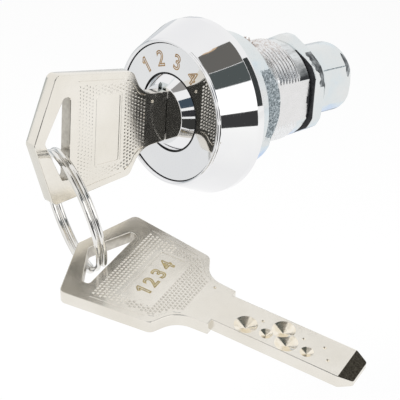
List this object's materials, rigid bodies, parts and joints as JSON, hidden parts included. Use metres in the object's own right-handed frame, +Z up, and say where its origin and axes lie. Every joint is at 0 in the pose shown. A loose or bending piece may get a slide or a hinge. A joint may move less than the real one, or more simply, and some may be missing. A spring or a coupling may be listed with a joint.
{
  "type": "cabinet cylinder lock",
  "caption": "Dimple-key cylinder lock for a cabinet door: cone bezel, number disc, threaded double-D barrel, hex nut, drive tail, key in place and a spare on a split ring.",
  "frame": {"origin": "on the lock axis at the start of the collar, 0.1 mm behind the bezel's rear face that bears on the cabinet panel", "axes": "+Y along the lock axis into the cabinet, +Z up with the key upright, +X to the right seen from the front"},
  "size_m": [0.0723, 0.0756, 0.0462],
  "materials": {
    "chrome": "polished",
    "bright_zinc": "bright plated",
    "cast_zinc": "as cast",
    "nickel": "satin",
    "polished_steel": "polished",
    "brass": "machined",
    "spring_steel": "satin",
    "rubber": "matte"
  },
  "bodies": {
    "housing": {"housing_barrel": "bright_zinc", "chamber_cover": "cast_zinc", "chamber_caps": "bright_zinc", "driver_pins": "brass", "pin_springs": "spring_steel", "bezel_ring": "chrome", "number_disc": "chrome", "disc_gasket": "rubber", "plug_wiper": "rubber"},
    "plug": {"plug_boss": "chrome", "key_plug": "brass", "drill_guard_rods": "spring_steel", "key_pins_deep": "brass", "key_pins_shallow": "brass", "stop_pin": "spring_steel", "snap_ring": "spring_steel", "drive_hub": "bright_zinc", "tail_bolt": "spring_steel"},
    "nut": {"hex_nut": "bright_zinc"},
    "key": {"inserted_key": "nickel"},
    "ring": {"split_ring": "polished_steel"},
    "spare": {"spare_key": "nickel"}
  },
  "joints": [
    {"name": "plug_turn", "type": "hinge", "parent": "housing", "child": "plug", "pos_m": [0, 0, 0], "axis": [0, 1, 0], "range_deg": [0, 90]},
    {"name": "nut_run", "type": "slide", "parent": "plug", "child": "nut", "axis": [0, 1, 0], "range_m": [0, 0.0115]},
    {"name": "key_withdraw", "type": "slide", "parent": "plug", "child": "key", "axis": [0, -1, 0], "range_m": [0, 0.03]},
    {"name": "ring_swing", "type": "hinge", "parent": "key", "child": "ring", "pos_m": [0, -0.0343, -0.0026], "axis": [1, 0, 0], "range_deg": [-35, 20]},
    {"name": "spare_ride", "type": "hinge", "parent": "ring", "child": "spare", "pos_m": [0.00206, -0.03187, -0.01313], "axis": [-0.3005, -0.9148, -0.2697], "range_deg": [-60, 60]}
  ]
}
